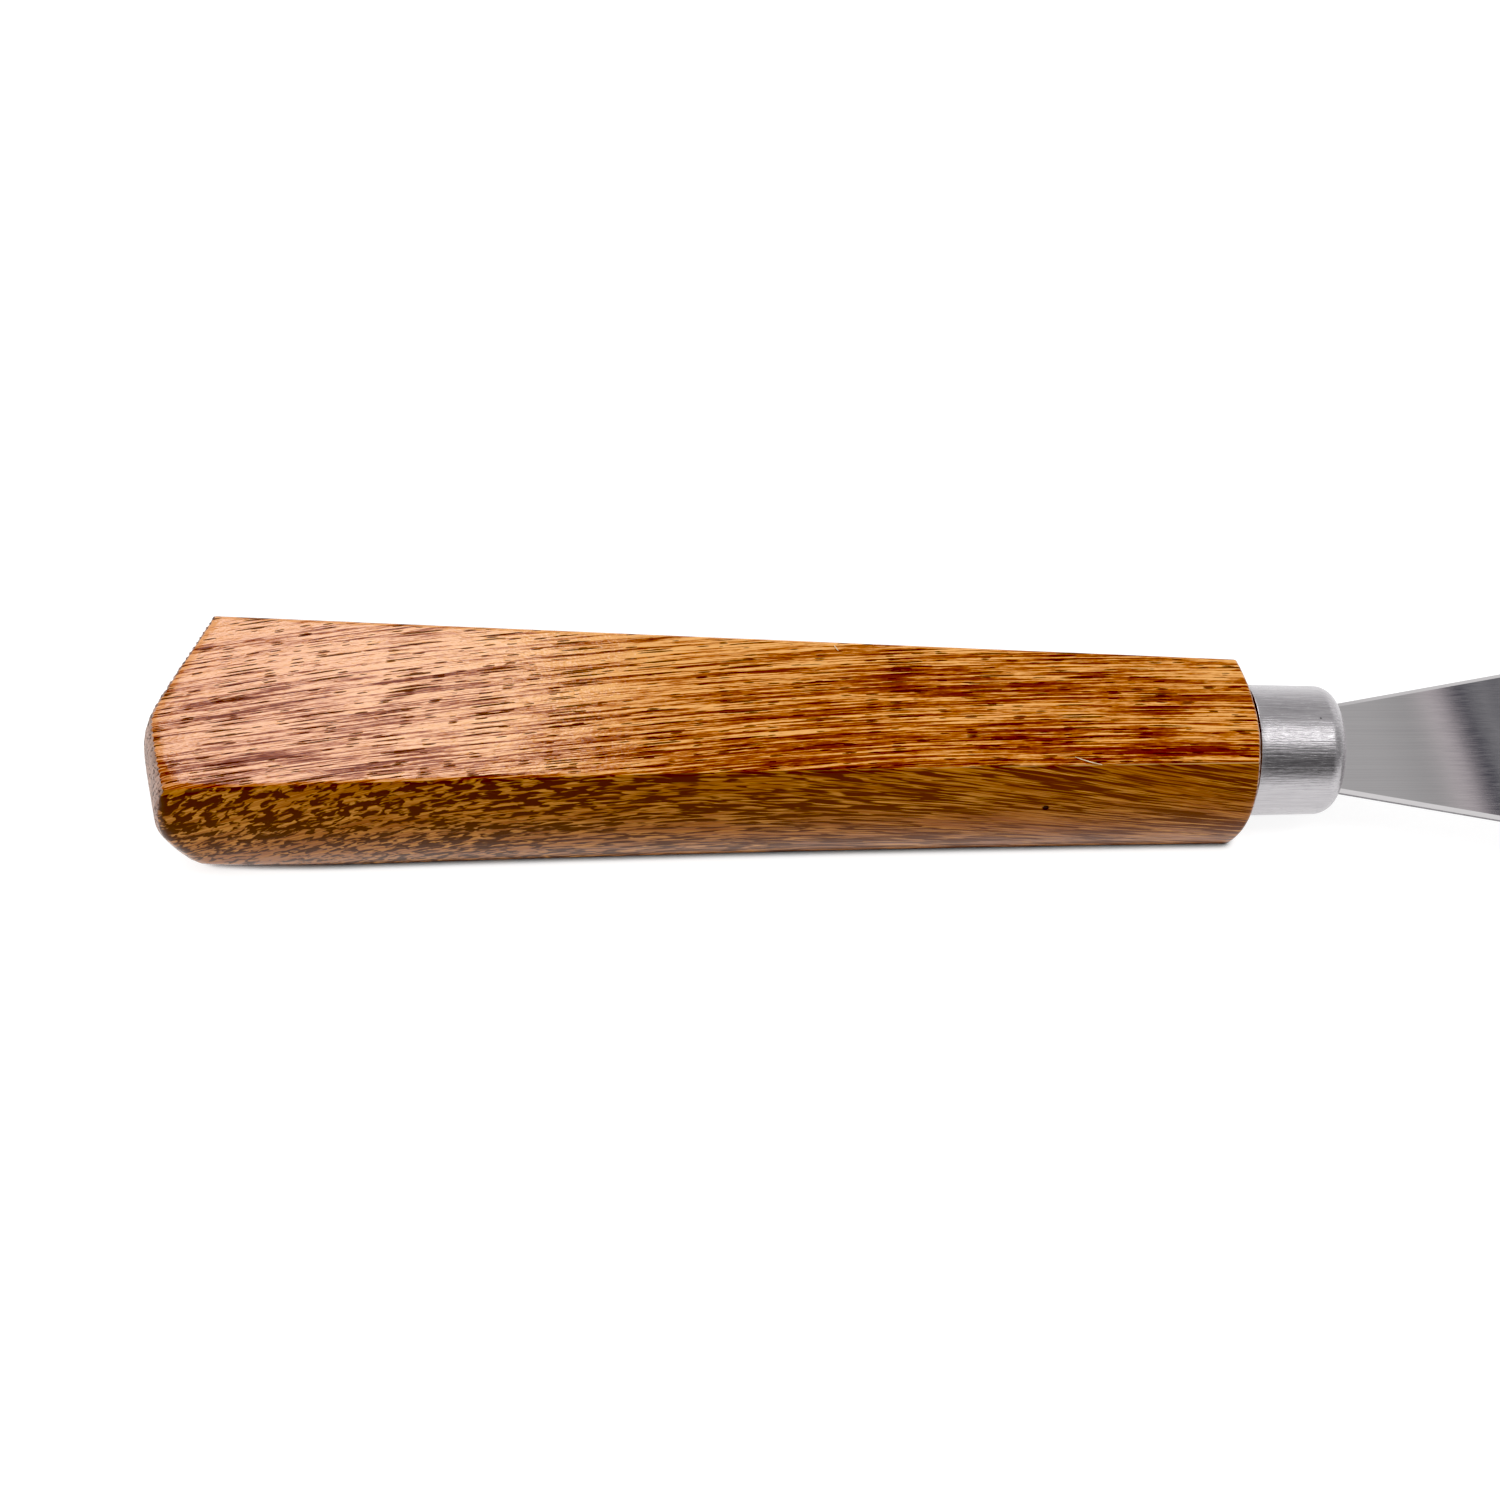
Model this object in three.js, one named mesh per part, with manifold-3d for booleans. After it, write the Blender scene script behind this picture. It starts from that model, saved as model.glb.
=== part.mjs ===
// A palette knife: a hardwood handle, an aluminium ferrule and a flared leaf of spring steel.
//
// Millimetres. X runs along the knife, from the butt of the handle to the tip of the blade, Y runs
// across it and Z is up. While the pieces are made, the knife's axis is the X axis and X = 0 is the
// shoulder of the handle that the ferrule is pressed against. Last, the whole knife is set down
// with its origin at the middle of its footprint, on the surface that it rests on.

import * as THREE from 'three';
import { mergeVertices } from 'three/addons/utils/BufferGeometryUtils.js';
import Module from 'manifold-3d';

const wasm = await Module();
wasm.setup();

// Handle: sawn from a board, so its upper and lower faces are flat and parallel. Its sides bulge a
// little and flare towards the butt, which comes to a blunt point just off the axis.
const HANDLE_LENGTH = 121.5;
const HANDLE_THICKNESS = 15;
const FRONT_HALF_WIDTH = { far: 6.9, near: 7.5 };
const BUTT_HALF_WIDTH = { far: 13.9, near: 11.4 };
const WAIST = { far: 0, near: 0.5 };
const SIDE_BULGE = 1.55;
const BUTT_POINT_Y = -1.1;
const BUTT_POINT_RADIUS = 1.5;
const BUTT_CUT_SLOPE = { far: 0.29, near: 0.37 };
const BUTT_DOME = 2.4;
const FRONT_DOME_RADIUS = 29;

// Ferrule: a drawn cup with a little draft and a round front shoulder.
const FERRULE_LENGTH = 9.9;
const FERRULE_REAR_RADIUS = 7.32;
const FERRULE_FRONT_RADIUS = 7.15;
const FERRULE_SHOULDER_RADIUS = 2;
const FERRULE_WALL = 0.8;
const FERRULE_REAR_GAP = 0.15;

// Tenon: the round peg on the front of the handle that fills the ferrule.
const TENON_GAP = 0.15;
const TENON_LENGTH = 8;
const TENON_ROOT = 2;

// Blade: one leaf of steel that widens at an even rate and thins towards its tip, with a narrower
// tang behind its heel.
const BLADE_REACH = 88;
const BLADE_MOUTH_WIDTH = 12.2;
const BLADE_TIP_WIDTH = 50.8;
const BLADE_HEEL_X = 8.3;
const BLADE_HEEL_FILLET = 0.5;
const BLADE_THICKNESS = 0.55;
const BLADE_TIP_THICKNESS = 0.35;
const BLADE_CORNER_RADIUS = 1.5;
const BEVEL_WIDTH = 0.55;
const BEVEL_EDGE_SHARE = 0.5;
const TANG_WIDTH = 9;
const TANG_LENGTH = 50;

// Slot sawn into the handle for the tang, and the resin that fills what the tang leaves of it.
const RESIN_THICKNESS = 0.4;
const RESIN_GAP = 0.1;
const SLOT_CLEARANCE = 0.15;

const ROUND_SEGMENTS = 72;
const ARC_STEPS = 6;

const wood = new THREE.MeshStandardMaterial({ color: 0xa5622a, roughness: 0.35, metalness: 0 });
const aluminium = new THREE.MeshStandardMaterial({ color: 0xb9b8bc, roughness: 0.38, metalness: 1 });
const steel = new THREE.MeshStandardMaterial({ color: 0xa8a7a8, roughness: 0.22, metalness: 1 });
const resin = new THREE.MeshStandardMaterial({ color: 0xc9b27a, roughness: 0.4, metalness: 0 });

const halfThickness = HANDLE_THICKNESS / 2;
const bladeTipX = FERRULE_LENGTH + BLADE_REACH;
const { lerp } = THREE.MathUtils;

// Drops everything but the positions and joins the vertices that lie in the same place.
function welded(geometry) {
  geometry.deleteAttribute('normal');
  geometry.deleteAttribute('uv');
  return mergeVertices(geometry, 1e-5);
}

// A box whose grid of points is moved by place(u, v, w, point), where u, v and w run from -1 to 1
// along X, Y and Z.
function shapedBox(segments, place) {
  const geometry = welded(new THREE.BoxGeometry(2, 2, 2, ...segments));
  const position = geometry.getAttribute('position');
  const point = new THREE.Vector3();
  for (let i = 0; i < position.count; i += 1) {
    place(position.getX(i), position.getY(i), position.getZ(i), point);
    position.setXYZ(i, point.x, point.y, point.z);
  }
  return geometry;
}

// A plain block between two X values, centred on the knife's axis.
function block(fromX, toX, width, height) {
  const geometry = new THREE.BoxGeometry(toX - fromX, width, height);
  geometry.translate((fromX + toX) / 2, 0, 0);
  return welded(geometry);
}

// A solid of revolution about the knife's axis. The profile's points are (radius, X).
function turned(profile) {
  const geometry = new THREE.LatheGeometry(profile, ROUND_SEGMENTS);
  geometry.rotateZ(-Math.PI / 2);
  return welded(geometry);
}

function toManifold(geometry) {
  const vertProperties = new Float32Array(geometry.getAttribute('position').array);
  const triVerts = new Uint32Array(geometry.getIndex().array);
  return new wasm.Manifold(new wasm.Mesh({ numProp: 3, vertProperties, triVerts }));
}

function toGeometry(manifold) {
  const mesh = manifold.getMesh();
  const geometry = new THREE.BufferGeometry();
  geometry.setAttribute('position', new THREE.BufferAttribute(mesh.vertProperties, 3));
  geometry.setIndex(new THREE.BufferAttribute(mesh.triVerts, 1));
  return geometry;
}

// The handle's half width at X and height z: a straight taper, a shallow waist and the side's bulge.
function handleHalfWidth(side, x, z) {
  const t = -x / HANDLE_LENGTH;
  const flat = lerp(FRONT_HALF_WIDTH[side], BUTT_HALF_WIDTH[side], t) - WAIST[side] * 4 * t * (1 - t);
  return flat + SIDE_BULGE * (1 - (z / halfThickness) ** 2);
}

// Two cuts that meet in a softened ridge, domed from the upper face to the lower one.
function buttX(y, z) {
  const domeRadius = (halfThickness ** 2 + BUTT_DOME ** 2) / (2 * BUTT_DOME);
  const dome = domeRadius - Math.sqrt(domeRadius ** 2 - z ** 2);
  const across = y - BUTT_POINT_Y;
  const fromRidge = Math.hypot(across, BUTT_POINT_RADIUS) - BUTT_POINT_RADIUS;
  return -HANDLE_LENGTH + dome + fromRidge * BUTT_CUT_SLOPE[across > 0 ? 'far' : 'near'];
}

// Flat under the ferrule and a shallow dome around it, so that the corners are set back.
function frontX(y, z) {
  const beyondFerrule = Math.max(0, y ** 2 + z ** 2 - FERRULE_REAR_RADIUS ** 2);
  return -beyondFerrule / (2 * FRONT_DOME_RADIUS);
}

function handleBody() {
  const rounds = 4;
  return shapedBox([30, 14, 10], (u, v, w, point) => {
    const along = (u + 1) / 2;
    const side = v > 0 ? 'far' : 'near';
    const z = w * halfThickness;
    let x = lerp(-HANDLE_LENGTH, 0, along);
    let y = 0;
    for (let round = 0; round < rounds; round += 1) {
      const middle = BUTT_POINT_Y * (-x / HANDLE_LENGTH);
      const edge = handleHalfWidth(side, x, z) * (v > 0 ? 1 : -1);
      y = lerp(middle, edge, Math.abs(v));
      x = lerp(buttX(y, z), frontX(y, z), along);
    }
    point.set(x, y, z);
  });
}

function handleGeometry() {
  const tenonRadius = FERRULE_FRONT_RADIUS - FERRULE_WALL - TENON_GAP;
  const chamfer = 0.5;
  const tenon = turned([
    new THREE.Vector2(0, -TENON_ROOT),
    new THREE.Vector2(tenonRadius, -TENON_ROOT),
    new THREE.Vector2(tenonRadius, TENON_LENGTH - chamfer),
    new THREE.Vector2(tenonRadius - chamfer, TENON_LENGTH),
    new THREE.Vector2(0, TENON_LENGTH),
  ]);
  const slot = block(
    -TANG_LENGTH - RESIN_THICKNESS,
    TENON_LENGTH + 1,
    TANG_WIDTH + 2 * RESIN_THICKNESS,
    BLADE_THICKNESS + 2 * RESIN_THICKNESS,
  );
  return toGeometry(toManifold(handleBody()).add(toManifold(tenon)).subtract(toManifold(slot)));
}

// Points of a quarter arc about (radius, X), from facing outwards to facing forwards.
function shoulderArc(centreRadius, centreX, radius) {
  const points = [];
  for (let step = 0; step <= ARC_STEPS; step += 1) {
    const angle = (step / ARC_STEPS) * (Math.PI / 2);
    const r = centreRadius + radius * Math.cos(angle);
    points.push(new THREE.Vector2(r, centreX + radius * Math.sin(angle)));
  }
  return points;
}

function ferruleGeometry() {
  const arcX = FERRULE_LENGTH - FERRULE_SHOULDER_RADIUS;
  const arcRadius = FERRULE_FRONT_RADIUS - FERRULE_SHOULDER_RADIUS;
  const outside = shoulderArc(arcRadius, arcX, FERRULE_SHOULDER_RADIUS);
  const inside = shoulderArc(arcRadius, arcX, FERRULE_SHOULDER_RADIUS - FERRULE_WALL);
  const cup = turned([
    new THREE.Vector2(FERRULE_REAR_RADIUS - FERRULE_WALL, FERRULE_REAR_GAP),
    new THREE.Vector2(FERRULE_REAR_RADIUS, FERRULE_REAR_GAP),
    ...outside,
    new THREE.Vector2(0, FERRULE_LENGTH),
    new THREE.Vector2(0, FERRULE_LENGTH - FERRULE_WALL),
    ...inside.reverse(),
    new THREE.Vector2(FERRULE_REAR_RADIUS - FERRULE_WALL, FERRULE_REAR_GAP),
  ]);
  const slot = block(
    BLADE_HEEL_X - SLOT_CLEARANCE,
    FERRULE_LENGTH + 1,
    BLADE_MOUTH_WIDTH + 2 * SLOT_CLEARANCE,
    BLADE_THICKNESS + 2 * SLOT_CLEARANCE,
  );
  return toGeometry(toManifold(cup).subtract(toManifold(slot)));
}

// The leaf's half width: an even flare from the ferrule's mouth to the rounded corners of the tip.
function leafHalfWidth(x) {
  const cornerX = bladeTipX - BLADE_CORNER_RADIUS;
  const along = Math.min(1, (x - FERRULE_LENGTH) / (cornerX - FERRULE_LENGTH));
  const straight = lerp(BLADE_MOUTH_WIDTH, BLADE_TIP_WIDTH, along) / 2;
  const intoCorner = Math.max(0, x - cornerX);
  return straight - BLADE_CORNER_RADIUS + Math.sqrt(BLADE_CORNER_RADIUS ** 2 - intoCorner ** 2);
}

// Places along the blade where its outline or its thickness changes.
function bladeStations() {
  const stations = [-TANG_LENGTH, BLADE_HEEL_X, BLADE_HEEL_X + BLADE_HEEL_FILLET, FERRULE_LENGTH];
  for (let step = 0; step <= ARC_STEPS; step += 1) {
    const angle = (step / ARC_STEPS) * (Math.PI / 2);
    stations.push(bladeTipX - BLADE_CORNER_RADIUS * (1 - Math.sin(angle)));
  }
  return stations;
}

function bladeGeometry() {
  const stations = bladeStations();
  const last = stations.length - 1;
  return shapedBox([last, 4, 1], (u, v, w, point) => {
    const x = stations[Math.round(((u + 1) / 2) * last)];
    const isTang = x <= BLADE_HEEL_X;
    const halfWidth = isTang ? TANG_WIDTH / 2 : leafHalfWidth(x);
    const isEdge = Math.abs(v) > 0.9;
    const inset = isEdge ? 0 : BEVEL_WIDTH;
    const outOfMouth = Math.max(0, (x - FERRULE_LENGTH) / BLADE_REACH);
    const thickness = lerp(BLADE_THICKNESS, BLADE_TIP_THICKNESS, outOfMouth);
    const edgeShare = isEdge && !isTang ? BEVEL_EDGE_SHARE : 1;
    point.set(x, Math.sign(v) * (halfWidth - inset), w * edgeShare * thickness / 2);
  });
}

// A thin sleeve of resin around the tang, closed behind the tang's end.
function resinGeometry() {
  const outer = block(
    -TANG_LENGTH - RESIN_THICKNESS + RESIN_GAP,
    TENON_LENGTH,
    TANG_WIDTH + 2 * (RESIN_THICKNESS - RESIN_GAP),
    BLADE_THICKNESS + 2 * (RESIN_THICKNESS - RESIN_GAP),
  );
  const inner = block(
    -TANG_LENGTH - RESIN_GAP,
    TENON_LENGTH + 1,
    TANG_WIDTH + 2 * RESIN_GAP,
    BLADE_THICKNESS + 2 * RESIN_GAP,
  );
  return toGeometry(toManifold(outer).subtract(toManifold(inner)));
}

function piece(name, geometry, material) {
  const mesh = new THREE.Mesh(geometry, material);
  mesh.name = name;
  return mesh;
}

const knife = new THREE.Group();
knife.add(piece('handle', handleGeometry(), wood));
knife.add(piece('ferrule', ferruleGeometry(), aluminium));
knife.add(piece('blade', bladeGeometry(), steel));
knife.add(piece('tang_adhesive', resinGeometry(), resin));

const footprint = new THREE.Box3().setFromObject(knife);
const middle = footprint.getCenter(new THREE.Vector3());
knife.position.set(-middle.x, -middle.y, -footprint.min.z);

export default knife;
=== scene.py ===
"""A palette knife: lacquered hardwood handle, drawn aluminium ferrule and a flared spring-steel blade.

The sizes are in millimetres on the knife's own axes: x runs forwards from the handle's shoulder, where
the ferrule sits, y runs across the knife and z is up from the blade's plane. place() moves a point from
there to the frame, in metres.
"""

import math

import bpy
import numpy as np
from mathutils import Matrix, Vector


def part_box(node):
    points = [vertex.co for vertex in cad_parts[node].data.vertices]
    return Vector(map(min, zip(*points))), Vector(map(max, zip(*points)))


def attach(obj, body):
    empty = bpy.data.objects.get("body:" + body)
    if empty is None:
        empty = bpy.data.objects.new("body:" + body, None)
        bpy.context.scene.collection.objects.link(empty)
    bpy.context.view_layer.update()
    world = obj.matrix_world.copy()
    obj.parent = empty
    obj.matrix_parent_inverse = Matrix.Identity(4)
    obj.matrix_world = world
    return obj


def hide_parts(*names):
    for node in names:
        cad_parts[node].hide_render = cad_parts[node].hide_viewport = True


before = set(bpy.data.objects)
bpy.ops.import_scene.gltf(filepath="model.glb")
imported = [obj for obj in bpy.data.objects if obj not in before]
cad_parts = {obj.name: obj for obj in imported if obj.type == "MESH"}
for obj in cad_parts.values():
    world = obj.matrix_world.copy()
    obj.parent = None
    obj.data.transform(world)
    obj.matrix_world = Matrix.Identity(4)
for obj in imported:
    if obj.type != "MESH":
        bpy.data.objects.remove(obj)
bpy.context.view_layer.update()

MM = 0.001

# The handle, as in the CAD model.
HANDLE_LENGTH = 121.5
HALF_THICKNESS = 7.5
FRONT_HALF_WIDTH = {"far": 6.9, "near": 7.5}
BUTT_HALF_WIDTH = {"far": 13.9, "near": 11.4}
WAIST = {"far": 0.0, "near": 0.5}
SIDE_BULGE = 1.55
BUTT_POINT_Y = -1.1
BUTT_POINT_RADIUS = 1.5
BUTT_CUT_SLOPE = {"far": 0.29, "near": 0.37}
BUTT_DOME = 2.4
FRONT_DOME_RADIUS = 29.0
TENON_RADIUS = 6.2
TENON_LENGTH = 8.0

# The ferrule.
FERRULE_LENGTH = 9.9
FERRULE_REAR_RADIUS = 7.32
FERRULE_FRONT_RADIUS = 7.15
FERRULE_SHOULDER = 2.0
FERRULE_WALL = 0.8
FERRULE_REAR_GAP = 0.15
FERRULE_LIP = 0.12
FERRULE_EYE = 0.05
FERRULE_DENTS = 0.012
SLOT_CLEARANCE = 0.15

# The blade.
BLADE_REACH = 88.0
BLADE_MOUTH_WIDTH = 12.2
BLADE_TIP_WIDTH = 50.8
BLADE_HEEL_X = 8.3
BLADE_THICKNESS = 0.55
BLADE_TIP_THICKNESS = 0.35
BLADE_CORNER = 1.5
BEVEL_WIDTH = 0.55
BEVEL_EDGE_SHARE = 0.5
BLADE_WAVINESS = 0.02
TANG_WIDTH = 9.0
TANG_LENGTH = 50.0
RESIN_THICKNESS = 0.4

# Fine shape of the wood, which the CAD model leaves out.
SAW_PITCH = 0.7
SAW_DEPTH = {"face": 0.12, "arris": 0.26}
SAW_WAVER = 0.6
SAW_LEAN = 0.05
NEAR_CUT_SHARE = 0.35
CUT_ROUGHNESS = 0.05
CUT_SETBACK = 0.2
LACQUER_RIPPLE = 0.008
GRAIN_RIDGES = 0.010
BLOCK_HALF_WIDTH = 10.0
ARRIS_RADIUS = 0.35
BUTT_LOWER_RADIUS = 2.0
BUTT_LOWER_REACH = 24.0
BUTT_CORNER_RADIUS = 0.6
BUTT_CORNER_REACH = 8.0
GRID_STEP = {"along": 0.95, "across": 0.127, "up": 0.2}

# Small flaws.
SIDE_PIT = (-23.0, -9.4, 1.9)
FERRULE_SPECK = (6.85, -1.2, 7.15)
FIBRES = (
    ("raised_fibre_near_edge", (-20.4, -6.9), (-17.7, -7.9), 0.11),
    ("raised_fibre_far_edge", (-45.3, 8.9), (-44.9, 8.1), 0.12),
)

# The photographer's place: how far from the knife's axis, how high, and over which point of the handle.
CAMERA_DISTANCE = 182.5
CAMERA_ELEVATION = math.radians(51.8)
CAMERA_OVER_X = -54.7
CAMERA_FIELD = math.radians(49.3)

# The studio: what the lights face, how far the knife's contact dims the table, and the tones.
LIGHT_TARGET = (-40.0, 0.0, 0.0)
TABLE_GLOW = 0.82
TABLE_HALF_SIZE = 4.0
CONTACT_REACH = 1.0
BLACK_LEVEL = 0.038

# The room that the knife reflects, as greys by degrees from the zenith. They are negative away from the
# camera and positive towards it. The bright band on the right is the overhead softbox, which the metal
# would otherwise not show, since that light is hidden from reflections.
CEILING = (
    (-90, 0.9),
    (-76, 1.0),
    (-62, 0.95),
    (-52, 0.75),
    (-36, 0.68),
    (-18, 0.62),
    (0, 0.55),
    (18, 0.5),
    (40, 0.42),
    (60, 0.38),
    (75, 0.5),
    (90, 0.6),
)
CEILING_RIGHT = (
    (-90, 1.15),
    (-76, 1.1),
    (-62, 0.95),
    (-52, 0.75),
    (-36, 0.68),
    (-18, 0.65),
    (-10, 0.95),
    (0, 0.95),
    (5, 1.0),
    (8, 3.6),
    (15, 3.6),
    (19, 0.9),
    (30, 0.8),
    (43, 0.2),
    (72, 0.16),
    (84, 0.25),
    (90, 0.3),
)
# The room's back right part, which the blade reflects, by degrees from the zenith to the right.
RIGHT_WALL = (
    (20, 0.56),
    (26.2, 0.54),
    (27.9, 0.46),
    (28.7, (0.66, 0.62, 0.63)),
    (29.0, (0.60, 0.56, 0.58)),
    (29.5, (0.10, 0.10, 0.12)),
    (29.9, (0.10, 0.105, 0.12)),
    (30.25, (0.36, 0.36, 0.375)),
    (30.6, (0.36, 0.36, 0.37)),
    (31.0, (0.15, 0.15, 0.17)),
    (32.5, 0.5),
    (37, 0.8),
    (55, 1.0),
    (90, 1.0),
)

handle_low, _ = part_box("handle")
blade_low, blade_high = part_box("blade")
axis_origin = Vector((
    handle_low.x + HANDLE_LENGTH * MM,
    (blade_low.y + blade_high.y) / 2,
    (blade_low.z + blade_high.z) / 2,
))


def place(x, y, z):
    """A point on the knife's own axes, in millimetres, as a point of the frame, in metres."""
    return axis_origin + Vector((x, y, z)) * MM


def smooth(t):
    """Goes from 0 to 1 with level ends as t does."""
    t = np.clip(t, 0.0, 1.0)
    return t * t * (3.0 - 2.0 * t)


def lerp(a, b, t):
    """Goes evenly from a to b as t goes from 0 to 1."""
    return a + (b - a) * t


# ---------------------------------------------------------------- noise for shapes


def lattice_values(cells, seed):
    """A repeatable number from 0 to 1 for each row of whole numbers."""
    cells = cells.astype(np.int64)
    bits = cells[:, 0] * 73856093 ^ cells[:, 1] * 19349663 ^ cells[:, 2] * 83492791 ^ seed * 2654435761
    bits = (bits ^ (bits >> 13)) * 1274126177
    return ((bits ^ (bits >> 16)) & 0xFFFF) / 65535.0


def noise(points, seed):
    """Smooth noise from -1 to 1, one unit to a bump."""
    base = np.floor(points)
    part = smooth(points - base)
    total = np.zeros(len(points))
    for corner in np.ndindex(2, 2, 2):
        share = np.prod(np.where(np.array(corner) == 1, part, 1.0 - part), axis=1)
        total += share * lattice_values(base + corner, seed)
    return total * 2.0 - 1.0


# ---------------------------------------------------------------- meshes


def new_object(name, points, faces, materials, face_slots=None, smooth_angle=35.0):
    """A mesh object from points in knife millimetres."""
    origin = np.array(axis_origin)
    mesh = bpy.data.meshes.new(name)
    mesh.from_pydata((np.asarray(points) * MM + origin).tolist(), [], [list(f) for f in faces])
    for material in materials:
        mesh.materials.append(material)
    if face_slots is not None:
        mesh.polygons.foreach_set("material_index", np.asarray(face_slots, np.int32))
    mesh.shade_smooth()
    mesh.set_sharp_from_angle(angle=math.radians(smooth_angle))
    obj = bpy.data.objects.new(name, mesh)
    bpy.context.scene.collection.objects.link(obj)
    return obj


def set_points(obj, points):
    """Moves a mesh's points to these places, in knife millimetres."""
    obj.data.vertices.foreach_set("co", (points * MM + np.array(axis_origin)).ravel())
    obj.data.update()


def vertex_normals(obj):
    """A mesh's normals, one row to a point."""
    normals = np.empty(len(obj.data.vertices) * 3)
    obj.data.vertex_normals.foreach_get("vector", normals)
    return normals.reshape(-1, 3)


def set_attribute(obj, name, kind, values):
    """Stores a number or a vector for each point of a mesh, for its materials to read."""
    layer = obj.data.attributes.new(name, kind, "POINT")
    field = "vector" if kind == "FLOAT_VECTOR" else "value"
    layer.data.foreach_set(field, np.asarray(values, np.float32).ravel())


def lattice_box(us, vs, ws):
    """The surface of a box as a grid with lines at the given places: points, quads facing out, and for
    each quad its axis and end, such as (2, 1) for the top."""
    sizes = (len(us), len(vs), len(ws))
    places = (np.asarray(us), np.asarray(vs), np.asarray(ws))
    quads, sides = [], []
    for axis in range(3):
        first, second = (axis + 1) % 3, (axis + 2) % 3
        for end in (0, 1):
            a, b = np.meshgrid(np.arange(sizes[first] - 1), np.arange(sizes[second] - 1), indexing="ij")
            corners = []
            for da, db in ((0, 0), (1, 0), (1, 1), (0, 1)):
                index = np.empty(a.shape + (3,), np.int64)
                index[..., axis] = end * (sizes[axis] - 1)
                index[..., first] = a + da
                index[..., second] = b + db
                corners.append((index[..., 0] * sizes[1] + index[..., 1]) * sizes[2] + index[..., 2])
            quad = np.stack(corners, axis=-1).reshape(-1, 4)
            quads.append(quad if end else quad[:, ::-1])
            sides += [(axis, end)] * len(quad)
    used, faces = np.unique(np.concatenate(quads), return_inverse=True)
    i, rest = np.divmod(used, sizes[1] * sizes[2])
    j, k = np.divmod(rest, sizes[2])
    points = np.stack([places[0][i], places[1][j], places[2][k]], axis=1)
    return points, faces.reshape(-1, 4), np.array(sides)


def spaced(low, high, step, edge):
    """Places from low to high about a step apart, with closer ones in the rounded edge at each end."""
    fine = np.array([0.0, 0.3, 0.65]) * edge
    count = max(2, round((high - low - 2 * edge) / step))
    middle = np.linspace(low + edge, high - edge, count + 1)
    return np.concatenate([low + fine, middle, (high - fine)[::-1]])


def turned(profile, segments):
    """A solid of revolution about the knife's axis. The outline is a list of (radius, x) points that goes
    forwards on the outside and starts and ends on the axis, or else comes back to where it started."""
    outline = np.asarray(profile)
    closed = np.allclose(outline[0], outline[-1])
    on_axis = [] if closed else [outline[0][1], outline[-1][1]]
    rings = outline[:-1] if closed else outline[1:-1]
    count = len(rings)
    angles = np.arange(segments)[:, None] * 2 * math.pi / segments
    x = np.broadcast_to(rings[:, 1], (segments, count))
    y = rings[:, 0] * np.sin(angles)
    z = rings[:, 0] * np.cos(angles)
    points = np.stack([x, y, z], axis=-1).reshape(-1, 3)
    poles = np.array([(x, 0.0, 0.0) for x in on_axis]).reshape(-1, 3)
    faces = []
    for here in range(segments):
        a, b = here * count, (here + 1) % segments * count
        faces += [(a + p, a + p + 1, b + p + 1, b + p) for p in range(count - 1)]
        if closed:
            faces.append((a + count - 1, a, b, b + count - 1))
        else:
            faces += [(a, b, len(points)), (b + count - 1, a + count - 1, len(points) + 1)]
    return np.concatenate([points, poles]), faces


def block(from_x, to_x, width, height):
    """A plain block on the knife's axis, to join or cut with."""
    half = np.array([[from_x, to_x], [-width / 2, width / 2], [-height / 2, height / 2]])
    points, faces, _ = lattice_box(half[0], half[1], half[2])
    return points, faces


def combine(obj, points, faces, operation):
    """Joins a shape to obj or cuts it away. The new faces take obj's last material."""
    tool = new_object("tool", points, faces, [obj.data.materials[-1]])
    step = obj.modifiers.new("combine", "BOOLEAN")
    step.operation = operation
    step.solver = "MANIFOLD"
    step.object = tool
    with bpy.context.temp_override(object=obj, active_object=obj, selected_objects=[obj]):
        bpy.ops.object.modifier_apply(modifier=step.name)
    mesh = tool.data
    bpy.data.objects.remove(tool)
    bpy.data.meshes.remove(mesh)


# ---------------------------------------------------------------- handle


def half_width(side, x, z):
    """How far the far or near side stands from the knife's axis."""
    t = -x / HANDLE_LENGTH
    flat = lerp(FRONT_HALF_WIDTH[side], BUTT_HALF_WIDTH[side], t) - WAIST[side] * 4 * t * (1 - t)
    return flat + SIDE_BULGE * (1 - (z / HALF_THICKNESS) ** 2)


def butt_x(y, z):
    """Where the pointed and domed butt ends."""
    dome_radius = (HALF_THICKNESS ** 2 + BUTT_DOME ** 2) / (2 * BUTT_DOME)
    dome = dome_radius - np.sqrt(dome_radius ** 2 - z ** 2)
    across = y - BUTT_POINT_Y
    slope = np.where(across > 0, BUTT_CUT_SLOPE["far"], BUTT_CUT_SLOPE["near"])
    return -HANDLE_LENGTH + dome + (np.hypot(across, BUTT_POINT_RADIUS) - BUTT_POINT_RADIUS) * slope


def front_x(y, z):
    """Where the front ends: flat behind the ferrule and slightly domed around it."""
    beyond_ferrule = np.maximum(0.0, y ** 2 + z ** 2 - FERRULE_REAR_RADIUS ** 2)
    return -beyond_ferrule / (2 * FRONT_DOME_RADIUS)


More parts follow.
